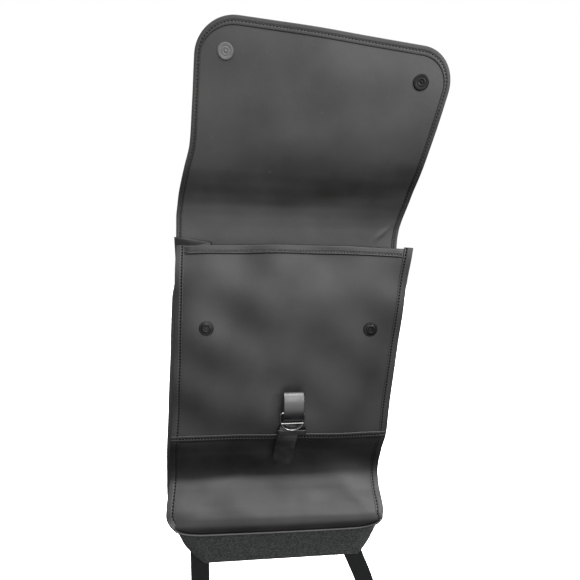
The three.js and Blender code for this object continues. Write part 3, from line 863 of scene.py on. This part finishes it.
def metal(name, dark, light, rough_low, rough_high, metallic=0.0, specular=0.5):
    """Painted or plated metal with slight wear."""
    finish = Finish(name, rough_low, metallic, specular)
    finish.colour(finish.ramp(finish.noise(160, 3), dark, light, 0.3, 0.7))
    finish.rough(finish.noise(420, 3), rough_low, rough_high)
    finish.bump((finish.noise(1800), 0.00001))
    return finish.material


def thread_finish(name, dark, light, roughness, specular):
    """Spun thread."""
    finish = Finish(name, roughness, specular=specular)
    finish.colour(finish.ramp(finish.noise(900), dark, light, 0.3, 0.7))
    finish.bump((finish.noise(2600), 0.00006))
    return finish.material


# Each finish has its darkest and lightest grey, then its lowest and highest roughness or named settings
CLOTH_FINISH = coated_cloth("coated_cloth", 0.004, 0.010, 0.42, 0.52)
# Lighter copy of the coated cloth for the flap's inner face: painted light on a face that tips downward
FLAP_FACE_LIT_FINISH = coated_cloth("flap_face_painted_lit", 0.018, 0.027, 0.42, 0.50)
# Both tapes get painted shade along their inner edges
TAPE_FINISH = coated_cloth("coated_tape", 0.005, 0.010, 0.42, 0.50, edge_shade=0.9)
# Flap tape: a lighter copy, painted light like the flap's inner face, with painted shade along its inner
# edge
FLAP_TAPE_FINISH = coated_cloth("flap_tape_painted_lit", 0.013, 0.020, 0.45, 0.53, edge_shade=1.7)
BASE_FINISH = woven_cloth("woven_base", 0.003, 0.085, pitch=0.0014)
STRAP_FINISH = webbing_cloth(
    "strap_webbing", 0.003, 0.011, pitch=0.0012, roughness=0.75, height=0.0002, specular=0.2,
)
CLOSURE_FINISH = webbing_cloth(
    "closure_webbing", 0.004, 0.010, pitch=0.0008, roughness=0.34, height=0.00002, hem=0.0098, specular=1.0,
)
# One paint for both studs: the left is a lighter copy as a painted highlight, the right a darker copy as
# painted shade
STUD_FINISH = {
    "left": metal("lit_stud_paint", 0.085, 0.11, 0.40, 0.50),
    "right": metal("stud_paint", 0.004, 0.008, 0.30, 0.40, specular=0.15),
}
SOCKET_FINISH = metal("socket_paint", 0.002, 0.005, 0.20, 0.30, specular=0.2)
RING_FINISH = metal("ring_plating", 0.22, 0.32, 0.20, 0.30, metallic=1.0)
THREAD_FINISH = thread_finish("dark_thread", 0.001, 0.004, roughness=0.8, specular=0.08)
# Flap thread: a lighter copy of the dark thread, painted light like the flap's inner face
FLAP_THREAD_FINISH = thread_finish("flap_thread_painted_lit", 0.013, 0.020, roughness=0.5, specular=0.4)
# Lighter copy of the dark thread for the hem: painted highlight where its stitches catch light from above
LIT_HEM_THREAD_FINISH = thread_finish("hem_thread_painted_lit", 0.02, 0.045, roughness=0.35, specular=0.6)


def finish_piece(piece, slot, *nodes):
    """Every piece rides on the part's one body and may stand for nodes."""
    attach(piece, "root")
    if nodes:
        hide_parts(*nodes)
    return piece


# Pieces


def folded_edge(s, radius):
    """Share of full thickness near a folded edge at s = 0, where a little is left."""
    rest = np.clip(1 - s / radius, 0, FOLD_LIMIT)
    return np.sqrt(1 - rest**2)


def groove(s, at):
    return DIMPLE * np.exp(-((s - at) / GROOVE) ** 2)


def make_back():
    levels = np.linspace(-BACK_LAP, BACK_LENGTH - BACK_CORNERS["high"], 100)
    a, b = panel_grid(BACK_WIDTH, BACK_LENGTH, BACK_CORNERS, BACK_INSET, levels, columns=70)
    piece = wall("back_cloth", BACK, a, b, HALF, HALF, CLOTH_FINISH)
    finish_piece(piece, "coated_cloth", "back_panel")


def make_flap():
    levels = np.linspace(0, FLAP_LENGTH - FLAP_CORNERS["high"], 120)
    a, b = panel_grid(FLAP_WIDTH, FLAP_LENGTH, FLAP_CORNERS, PANEL_INSET, levels, columns=150)
    # The flap's inner face gets the lighter, painted-lit copy of the cloth; its outer face gets the plain
    # cloth
    piece = wall("flap_cloth", FLAP, a, b, HALF, HALF, FLAP_FACE_LIT_FINISH, CLOTH_FINISH)
    finish_piece(piece, "coated_cloth", "flap")
    path = edge_path(FLAP_WIDTH, FLAP_LENGTH, FLAP_CORNERS, FLAP_TAPE_LEFT, FLAP_TAPE_RIGHT)
    ribbon = Ribbon(FLAP, path, FLAP_TAPE)
    finish_piece(ribbon.mesh("flap_tape", FLAP_TAPE_FINISH), "coated_tape", "flap_binding")
    thread = stitches("flap_stitches", [ribbon.stitch_line(ribbon.turn >= 0)], FLAP_THREAD_FINISH)
    finish_piece(thread, "coated_tape")


def make_front_upper(across):
    """Upper front panel with its folded hem."""
    half = FRONT_WIDTH / 2 - PANEL_INSET
    columns = np.linspace(-half, half, 100)
    fold = np.array([0, 0.06, 0.2, 0.4, 0.7, 1.1, 1.5, 2.0])
    hem = np.arange(2.4, HEM_DEPTH + 1.6, 0.4)
    levels = np.concatenate([fold, hem, np.linspace(HEM_DEPTH + 3, CROSS_SEAM + LAP_DEPTH - 1, 80)])
    a, b = np.meshgrid(columns, levels)
    inside_tape = 1 - step(np.abs(a), half - HEM_ENDS[0], half - HEM_ENDS[1])
    hem_rise = HEM_RISE * (1 - step(b, HEM_DEPTH - HEM_STEP, HEM_DEPTH + HEM_STEP)) * inside_tape
    fold_share = folded_edge(b, HEM_FOLD)
    lip = HEM_LIP * np.exp(-((b - HEM_DEPTH + HEM_LIP_UP) / GROOVE) ** 2)
    roll = HEM_ROLL * (1 - np.sqrt(1 - np.clip(1 - b / HEM_ROLL, 0, 1) ** 2)) * inside_tape
    outer = (HALF + hem_rise + (lip - groove(b, HEM_STITCH)) * inside_tape) * fold_share - roll
    inner = (HALF + hem_rise) * fold_share + roll
    piece = wall("front_upper_cloth", FRONT, a, b, outer, inner, CLOTH_FINISH)
    finish_piece(piece, "coated_cloth", "front_upper_panel")
    line = seam_line(FRONT, across, 0 * across + HEM_STITCH, HALF + HEM_RISE - DIMPLE + THREAD_LIFT)
    # Hem stitches in the lighter thread, a painted highlight
    finish_piece(stitches("hem_stitches", [line], LIT_HEM_THREAD_FINISH), "coated_cloth")


def make_front_lower(across):
    """Lower front panel, lapped over the upper one."""
    straight = FRONT_LENGTH - FRONT_CORNERS["high"]
    fold = CROSS_SEAM + np.array([0, 0.1, 0.25, 0.5, 0.8, 1.2, 1.7])
    lap_end = CROSS_SEAM + LAP_DEPTH
    lap = np.arange(CROSS_SEAM + 2.1, lap_end + 5, 0.4)
    levels = np.concatenate([fold, lap, np.linspace(lap_end + 6, straight, 60)])
    a, b = panel_grid(FRONT_WIDTH, FRONT_LENGTH, FRONT_CORNERS, PANEL_INSET, levels, columns=100, turns=40)
    over = CLOTH * (1 - step(b, lap_end - LAP_FADE[0], lap_end + LAP_FADE[1]))
    middle = HALF * LAP_SWELL * folded_edge(b - CROSS_SEAM, LAP_FOLD)
    outer = over + middle - groove(b, CROSS_SEAM + LAP_STITCH)
    inner = middle - over
    piece = wall("front_lower_cloth", FRONT, a, b, outer, inner, CLOTH_FINISH)
    finish_piece(piece, "coated_cloth", "front_lower_panel")
    height = CLOTH + HALF * LAP_SWELL - DIMPLE + THREAD_LIFT
    line = seam_line(FRONT, across, 0 * across + CROSS_SEAM + LAP_STITCH, height)
    finish_piece(stitches("lap_stitches", [line], THREAD_FINISH), "coated_cloth")


def make_front_tape():
    """Tape down one side, round the bottom, where it stands forward as a fin, and up the other side."""
    slope = math.radians(FIN_SLOPE)
    fin = np.array([0, -math.cos(slope), math.sin(slope)])
    path = edge_path(FRONT_WIDTH, FRONT_LENGTH, FRONT_CORNERS, FRONT_TAPE_LEFT, FRONT_TAPE_RIGHT)
    ribbon = Ribbon(FRONT, path, FRONT_TAPE, fin, FIN_TURNED_BY)
    finish_piece(ribbon.mesh("front_tape", TAPE_FINISH), "coated_tape", "front_binding")
    on_side = ribbon.turn < SIDE_STITCH_END
    left, right = path["x"] < 0, path["x"] > 0
    lines = [ribbon.stitch_line(on_side & left), ribbon.stitch_line(on_side & right)]
    finish_piece(stitches("front_stitches", lines, THREAD_FINISH), "coated_tape")


def make_front():
    free = FRONT_WIDTH / 2 - FRONT_TAPE["side"][0] + UNDER_TAPE
    across = np.linspace(-free, free, 200)
    make_front_upper(across)
    make_front_lower(across)
    make_front_tape()


def seam_place(width, length, corners, rise, side, share):
    """Place on the seam of a panel at a share of its side or far end."""
    half, straight = width / 2, length - corners["high"]
    if side == "left":
        return 0 * share - half, blend(-rise, straight, share)
    if side == "right":
        return 0 * share + half, blend(straight, -rise, share)
    nearest = np.minimum(share, 1 - share)
    turn = np.clip(nearest / CORNER_SHARE, 0, 1) * math.pi / 2
    sign = np.where(share < 0.5, -1, 1)
    wide = np.where(share < 0.5, corners["left"], corners["right"])
    along = np.clip((share - CORNER_SHARE) / (1 - 2 * CORNER_SHARE), 0, 1)
    corner = sign * (half - wide + wide * np.cos(turn) ** corners["power"])
    flat = blend(corners["left"] - half, half - corners["right"], along)
    x = np.where(nearest < CORNER_SHARE, corner, flat)
    return x, straight + corners["high"] * np.sin(turn) ** corners["power"]


def strip(side, folds, inward_at):
    """Surface of a side wall or the base, w from the front seam to the back seam, f along it."""
    inset = {"left": SEAM_INSET, "right": SEAM_INSET, "high": BASE_INSET, "power": 0}
    corners = {key: FRONT_CORNERS[key] - inset[key] for key in FRONT_CORNERS}
    front_seam = (FRONT_WIDTH - 2 * SEAM_INSET, FRONT_LENGTH - BASE_INSET, corners, 0)
    back_seam = (BACK_WIDTH, BACK_LENGTH, BACK_CORNERS, MOUTH_RISE[side])

    def middle(w, f):
        w, f = np.broadcast_arrays(np.asarray(w, float), np.asarray(f, float))
        share = np.clip(f, 0, 1)
        start = FRONT.lifted(*seam_place(*front_seam, side, share), -SEAM_CLEAR)
        x, s = seam_place(*back_seam, side, share)
        end = BACK.at(x, s)
        end[..., 1] = BACK_SEAM - MOUTH_STEP * np.maximum(0, -s / MOUTH_RISE["left"])
        inward = smooth(folds, "along", "inward", share)
        power = smooth(folds, "along", "power", share)
        depth = inward * (1 - np.abs(2 * w - 1) ** power)
        return blend(start, end, w[..., None]) + inward_at(share) * depth[..., None]
    return Cloth(middle, 1, None, 0.002)


def base_inward(share):
    """The way into the bag from the base, turning to the side walls' ways round the corners."""
    first = np.maximum(1 - share / CORNER_SHARE, 0)
    last = np.maximum(1 - (1 - share) / CORNER_SHARE, 0)
    keep = 1 - np.maximum(first, last)
    return unit(np.stack([first - last, BASE_INWARD[0] * keep, BASE_INWARD[1] * keep], -1))


def make_sides():
    """Side walls with a thick folded top, and the base."""
    to_right = np.array([1.0, 0, 0])
    left = strip("left", LEFT_FOLDS, lambda f: to_right)
    right = strip("right", RIGHT_FOLDS, lambda f: -to_right)
    across = np.linspace(-SEAM_REACH, 1 + SEAM_REACH, 47)
    fold = np.array([0.002, 0.0022, 0.0026, 0.0034, 0.0045, 0.006])
    levels = np.concatenate([fold, np.linspace(0.009, 0.045, 14), np.linspace(0.05, 0.9999, 140)])
    for side, surface, down in (("left", left, levels), ("right", right, (1 - levels)[::-1])):
        w, f = np.meshgrid(across, down)
        deep = f if side == "left" else 1 - f
        taper = np.clip(GUSSET_HEM_TAPER * np.minimum(w, 1 - w), 0, 1)
        hem = GUSSET_HEM * (1 - step(deep, *GUSSET_HEM_END)) * taper
        thick = (HALF + hem) * folded_edge(deep - GUSSET_TOP, GUSSET_FOLD)
        piece = wall(f"gusset_{side}_cloth", surface, w, f, thick, thick, CLOTH_FINISH)
        finish_piece(piece, "coated_cloth", f"gusset_{side}")
    surface = strip("end", BASE_FOLDS, base_inward)
    w, f = np.meshgrid(np.linspace(0, 1, 45), np.linspace(0.0001, 0.9999, 220))
    piece = wall("bottom_cloth", surface, w, f, HALF, HALF, BASE_FINISH)
    finish_piece(piece, "woven_base", "bottom_panel")


def turned(name, profile, cloth, x, s, seat, material):
    """A turned disc on the cloth, from radius and height pairs."""
    centre, axis = seam_line(cloth, np.array(float(x)), np.array(float(s)), seat)
    side = unit(np.cross(axis, [0, 0, 1.0]))
    other = np.cross(axis, side)
    angles = circle(48)
    ring = side * np.cos(angles)[:, None] + other * np.sin(angles)[:, None]
    rings = [centre + ring * max(radius, 0.02) + axis * height for radius, height in profile]
    return sweep(name, np.array(rings), material, sharp=35)


def make_studs():
    stud = [
        (0, 0), (8.2, 0), (8.6, 0.3), (8.7, 0.9), (8.5, 1.5), (8.0, 1.75), (7.2, 1.7), (5.6, 1.65),
        (5.1, 1.5), (4.7, 1.5), (4.2, 1.7), (3.6, 1.75), (2.9, 1.7), (2.5, 1.45), (2.0, 1.4), (1.7, 1.6),
        (1.3, 1.85), (0.7, 1.95), (0, 1.95),
    ]
    socket = [
        (0, 0), (8.2, 0), (8.5, 0.3), (8.5, 0.9), (8.2, 1.3), (7.4, 1.5), (6.0, 1.5), (5.5, 1.7),
        (5.1, 2.1), (4.4, 2.25), (3.6, 2.25), (3.1, 2.0), (2.8, 1.5), (2.8, 0.5), (0, 0.5),
    ]
    seat = HALF + STUD_CLEAR
    for side, sign in (("left", -1), ("right", 1)):
        x = sign * (FLAP_WIDTH / 2 - STUD_FROM_SIDE)
        s = FLAP_LENGTH - STUD_FROM_TOP
        # Each stud takes its own lit or shaded copy of the paint
        disc = turned(f"stud_{side}", stud, FLAP, x, s, seat, STUD_FINISH[side])
        finish_piece(disc, "snap_metal", f"snap_stud_{side}")
        x = sign * (FRONT_WIDTH / 2 - SOCKET_FROM_SIDE)
        disc = turned(f"socket_{side}", socket, FRONT, x, SOCKET_DOWN, seat, SOCKET_FINISH)
        finish_piece(disc, "snap_metal", f"snap_socket_{side}")


def route_points(rows, per_span):
    """Points on a centripetal spline through a route's places."""
    route = np.stack([rows["x"], rows["y"], rows["z"]], -1)
    padded = np.concatenate([[2 * route[0] - route[1]], route, [2 * route[-1] - route[-2]]])
    t = np.linspace(0, 1, per_span + 1)[:-1, None]
    points = []
    for k in range(1, len(padded) - 2):
        p0, p1, p2, p3 = padded[k - 1:k + 3]
        d0, d1, d2 = (np.linalg.norm(b - a) ** 0.5 for a, b in ((p0, p1), (p1, p2), (p2, p3)))
        leave = ((p1 - p0) / d0 - (p2 - p0) / (d0 + d1) + (p2 - p1) / d1) * d1
        arrive = ((p2 - p1) / d1 - (p3 - p1) / (d1 + d2) + (p3 - p2) / d2) * d1
        square, cube = 3 * (p2 - p1) - 2 * leave - arrive, 2 * (p1 - p2) + leave + arrive
        points.append(p1 + t * leave + t**2 * square + t**3 * cube)
    return np.concatenate([*points, [route[-1]]])


def webbing(name, route, turn, width, thickness, material, round_end=0.0, level=(1.0, 0.0, 0.0)):
    """Flat webbing with round edges along a route; its width lies along level apart from the turn."""
    far = distances(route)
    along = unit(np.gradient(route, axis=0))
    across = unit(np.array(level) - along * (along @ np.array(level))[:, None])
    angle = np.radians(turn + 0 * far)[:, None]
    across = across * np.cos(angle) + np.cross(along, across) * np.sin(angle)
    up = np.cross(along, across)
    short = np.clip(round_end - (far[-1] - far), 0, round_end)
    half = width / 2 - thickness / 2 - (round_end - np.sqrt(round_end**2 - short**2))
    flat = np.linspace(-1, 1, 13)
    turns = np.linspace(math.pi / 2, -math.pi / 2, 7)[1:-1]
    share = np.concatenate([flat, 0 * turns + 1, flat[::-1], 0 * turns - 1])
    bulge = np.concatenate([0 * flat, np.cos(turns), 0 * flat, -np.cos(turns)])
    height = np.concatenate([0 * flat + 1, np.sin(turns), 0 * flat - 1, -np.sin(turns)])
    sideways = share * half[:, None] + bulge * thickness / 2
    rings = route[:, None] + across[:, None] * sideways[..., None] \
        + up[:, None] * (height * thickness / 2)[None, :, None]
    uv = np.stack([sideways, np.repeat(far[:, None], len(share), 1)], -1)
    return sweep(name, rings, material, uv=uv.reshape(-1, 2), sharp=50)


def make_closure():
    route = route_points(CLOSURE_ROUTE, 14)
    turns = {"share": np.linspace(0, 1, len(CLOSURE_ROUTE["turn"])), "turn": CLOSURE_ROUTE["turn"]}
    turn = smooth(turns, "share", "turn", np.linspace(0, 1, len(route)))
    strap = webbing("closure_webbing", route, turn, CLOSURE_WIDTH, WEBBING, CLOSURE_FINISH, TAIL_ROUND)
    finish_piece(strap, "closure_webbing", "closure_strap")
    finish_piece(make_ring(), "ring_metal", "closure_ring")
    route = route_points(LOOP_ROUTE, 10)
    level = (0, LOOP_TILT, 1)
    loop = webbing("closure_loop", route, 0, LOOP_WIDTH, LOOP_WEBBING, CLOSURE_FINISH, level=level)
    finish_piece(loop, "closure_webbing")


def make_ring():
    """Wire bent to a D with a bar across, in its own plane and then tilted."""
    half, top = (RING_WIDTH - RING_WIRE) / 2, RING_HEIGHT - RING_WIRE
    arc = np.linspace(math.pi, 2 * math.pi, 60)
    bend = np.linspace(0, math.pi / 2, 9)
    sine, cosine = np.sin(bend), np.cos(bend)
    x = [half * np.cos(arc), half - RING_BEND * (1 - cosine), -half + RING_BEND * (1 - sine)]
    y = [half + half * np.sin(arc), top - RING_BEND * (1 - sine), top - RING_BEND * (1 - cosine)]
    wire = np.stack([np.concatenate(x), np.concatenate(y)], -1)
    tangent = unit(np.roll(wire, -1, 0) - np.roll(wire, 1, 0))
    sides = circle(16)
    out, high = RING_WIRE / 2 * np.cos(sides), RING_WIRE / 2 * np.sin(sides)
    rings = np.stack([
        wire[:, :1] + tangent[:, 1:] * out,
        wire[:, 1:] - tangent[:, :1] * out,
        high + 0 * wire[:, :1],
    ], -1)
    chord = math.sqrt(half**2 - (half - RING_BAR_UP) ** 2)
    ends = np.linspace(-chord, chord, 9)[:, None]
    thin = RING_BAR / RING_WIRE
    bar = np.stack([ends + 0 * out, RING_BAR_UP + out * thin + 0 * ends, high * thin + 0 * ends], -1)
    tilt = math.radians(RING_TILT)
    turn = np.array([
        [1, 0, 0],
        [0, -math.sin(tilt), -math.cos(tilt)],
        [0, math.cos(tilt), -math.sin(tilt)],
    ])
    loop = sweep("ring_wire", rings @ turn.T + RING_FOOT, RING_FINISH, closed=True, sharp=60)
    cross = sweep("ring_bar", bar @ turn.T + RING_FOOT, RING_FINISH, sharp=60)
    with bpy.context.temp_override(active_object=loop, selected_editable_objects=[loop, cross]):
        bpy.ops.object.join()
    return loop


def make_shoulders():
    for side, rows in (("left", LEFT_SHOULDER), ("right", RIGHT_SHOULDER)):
        route = route_points(rows, 14)
        name = f"shoulder_{side}_webbing"
        strap = webbing(name, route, 0, SHOULDER_WIDTH, SHOULDER_WEBBING, STRAP_FINISH)
        finish_piece(strap, "strap_webbing", f"shoulder_strap_{side}")


# Stage


def direction(azimuth, elevation):
    """The way to a viewer or a light; azimuth 0 is in front, 90 to the right."""
    turn, rise = math.radians(azimuth), math.radians(elevation)
    return Vector((math.sin(turn) * math.cos(rise), -math.cos(turn) * math.cos(rise), math.sin(rise)))


def aim(thing, way):
    """Turn a camera or a light that stands this way to look back along it."""
    thing.rotation_mode = "QUATERNION"
    thing.rotation_quaternion = (-way).to_track_quat("-Z", "Y")


def make_camera():
    data = bpy.data.cameras.new("camera")
    data.lens = CAMERA_LENS
    data.sensor_width = SENSOR
    data.clip_start = 0.01
    camera = add_object("camera", data)
    camera.location = place(CAMERA_AT)
    aim(camera, direction(CAMERA_AZIMUTH, CAMERA_ELEVATION))
    bpy.context.scene.camera = camera


def area_light(name, azimuth, elevation, distance, size, power):
    """A soft light aimed at the bag's middle."""
    way = direction(azimuth, elevation)
    data = bpy.data.lights.new(name, "AREA")
    data.shape = "RECTANGLE"
    data.size, data.size_y = size
    data.energy = power
    lamp = add_object(name, data)
    lamp.location = Vector(LIGHT_TARGET) + way * distance
    aim(lamp, way)


def world_ramp(nodes, value, stops):
    """Brightness by a value from -1 to 1."""
    ramp = nodes.node("ShaderNodeValToRGB", {"Fac": nodes.remap(value, -1, 1, 0, 1)})
    elements = ramp.color_ramp.elements
    elements.remove(elements[1])
    for at, level in stops:
        elements.new(0.5 + 0.5 * at).color = (level, level, level, 1)
    elements.remove(elements[0])
    return ramp.outputs["Color"]


def make_world():
    """White to the eye; as light, brightest overhead and dim below and far to either side."""
    world = bpy.data.worlds.new("studio")
    bpy.context.scene.world = world
    world.use_nodes = True
    world.node_tree.nodes.clear()
    nodes = Nodes(world.node_tree)
    by_height = world_ramp(nodes, nodes.part("Generated", "Z"), WORLD_HEIGHTS)
    by_side = world_ramp(nodes, nodes.part("Generated", "X"), WORLD_SIDES)
    both = nodes.node("ShaderNodeVectorMath", {0: by_height, 1: by_side}, operation="MULTIPLY")
    inputs = {"Color": both.outputs["Vector"], "Strength": WORLD_STRENGTH}
    light = nodes.node("ShaderNodeBackground", inputs)
    white = nodes.node("ShaderNodeBackground", {"Color": (1, 1, 1, 1)})
    seen = nodes.node("ShaderNodeLightPath", {}).outputs["Is Camera Ray"]
    inputs = {"Fac": seen, 1: light.outputs["Background"], 2: white.outputs["Background"]}
    mix = nodes.node("ShaderNodeMixShader", inputs)
    nodes.node("ShaderNodeOutputWorld", {"Surface": mix.outputs["Shader"]})


def make_floor():
    finish = Finish("floor", 0.9, specular=0.1)
    finish.set(finish.shader, {
        "Base Color": (0.95, 0.95, 0.95, 1),
        "Emission Color": (1, 1, 1, 1),
        "Emission Strength": 0.7,
    })
    far = FLOOR_REACH
    corners = [(-far, -far, 0), (far, -far, 0), (far, far, 0), (-far, far, 0)]
    mesh = bpy.data.meshes.new("floor")
    mesh.from_pydata(corners, [], [(0, 1, 2, 3)])
    mesh.materials.append(finish.material)
    floor = add_object("floor", mesh)
    floor.location.z = cad_box[0][2] - FLOOR_DROP
    floor.visible_diffuse = False
    floor.visible_glossy = False


def make_stage():
    area_light("front", **FRONT_LIGHT)
    area_light("key", **KEY_LIGHT)
    make_world()
    make_floor()
    bpy.context.scene.view_settings.view_transform = "Standard"


make_camera()
make_back()
make_flap()
make_front()
make_sides()
make_studs()
make_closure()
make_shoulders()
make_stage()
